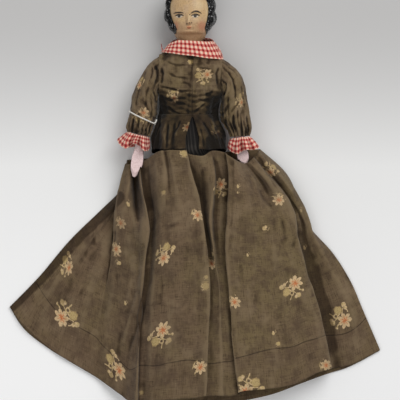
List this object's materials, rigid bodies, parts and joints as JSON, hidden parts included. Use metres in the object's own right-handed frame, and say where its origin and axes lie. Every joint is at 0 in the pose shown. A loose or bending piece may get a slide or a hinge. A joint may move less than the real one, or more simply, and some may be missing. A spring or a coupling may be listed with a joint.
{
  "type": "peg wooden doll",
  "caption": "Carved wooden doll with pegged arms and legs, in a fitted bodice with peplum and full sleeves, checked collar and cuffs, and a long pleated skirt",
  "frame": {"origin": "on the surface that the doll lies on, under its middle line at half its length", "axes": "+X to the doll's left, +Y to the crown of its head, +Z out of its front"},
  "size_m": [0.3705, 0.4153, 0.0516],
  "materials": {
    "aged_wood": "worn ochre paint over wood",
    "black_paint": "worn black paint over carved wood",
    "pegs": "bare wood",
    "bare_wood": "bare wood",
    "pink_paint": "pale pink paint over wood",
    "printed_cloth": "brown woven cotton with printed flower sprigs",
    "gingham": "red, pink and white checked cotton",
    "black_cloth": "black pleated cotton",
    "white_string": "twisted cotton string"
  },
  "bodies": {
    "torso": {"body": "aged_wood", "hair": "black_paint", "nose": "aged_wood", "shoulder_peg": "pegs", "hip_peg": "pegs", "collar": "gingham", "bodice": "printed_cloth", "peplum": "printed_cloth", "petticoat": "black_cloth", "skirt_front": "printed_cloth", "skirt_back": "printed_cloth"},
    "upper_arm_right": {"upper_arm_right": "bare_wood", "elbow_peg_right": "pegs", "sleeve_right": "printed_cloth", "sleeve_string": "white_string"},
    "forearm_right": {"forearm_right": "pink_paint", "cuff_right": "gingham"},
    "thigh_right": {"thigh_right": "bare_wood", "knee_peg_right": "pegs"},
    "shin_right": {"shin_right": "bare_wood"},
    "upper_arm_left": {"upper_arm_left": "bare_wood", "elbow_peg_left": "pegs", "sleeve_left": "printed_cloth"},
    "forearm_left": {"forearm_left": "pink_paint", "cuff_left": "gingham"},
    "thigh_left": {"thigh_left": "bare_wood", "knee_peg_left": "pegs"},
    "shin_left": {"shin_left": "bare_wood"}
  },
  "joints": [
    {"name": "shoulder_right", "type": "hinge", "parent": "torso", "child": "upper_arm_right", "pos_m": [-0.0371, 0.11897, 0.026], "axis": [-1, 0, 0], "range_deg": [-10, 130], "deforming": ["sleeve_right"]},
    {"name": "elbow_right", "type": "hinge", "parent": "upper_arm_right", "child": "forearm_right", "pos_m": [-0.04548, 0.07374, 0.026], "axis": [-0.9833, 0.1822, 0], "range_deg": [0, 90], "deforming": ["sleeve_string"]},
    {"name": "hip_right", "type": "hinge", "parent": "torso", "child": "thigh_right", "pos_m": [-0.0141, 0.025, 0.02], "axis": [-1, 0, 0], "range_deg": [0, 90], "deforming": ["skirt_front", "petticoat"]},
    {"name": "knee_right", "type": "hinge", "parent": "thigh_right", "child": "shin_right", "pos_m": [-0.0141, -0.082, 0.02], "axis": [1, 0, 0], "range_deg": [0, 90], "deforming": ["skirt_back"]},
    {"name": "shoulder_left", "type": "hinge", "parent": "torso", "child": "upper_arm_left", "pos_m": [0.0371, 0.11897, 0.026], "axis": [-1, 0, 0], "range_deg": [-10, 130], "deforming": ["sleeve_left"]},
    {"name": "elbow_left", "type": "hinge", "parent": "upper_arm_left", "child": "forearm_left", "pos_m": [0.04548, 0.07374, 0.026], "axis": [-0.9833, -0.1822, 0], "range_deg": [0, 90]},
    {"name": "hip_left", "type": "hinge", "parent": "torso", "child": "thigh_left", "pos_m": [0.0141, 0.025, 0.02], "axis": [-1, 0, 0], "range_deg": [0, 90], "deforming": ["skirt_front", "petticoat"]},
    {"name": "knee_left", "type": "hinge", "parent": "thigh_left", "child": "shin_left", "pos_m": [0.0141, -0.082, 0.02], "axis": [1, 0, 0], "range_deg": [0, 90], "deforming": ["skirt_back"]}
  ]
}
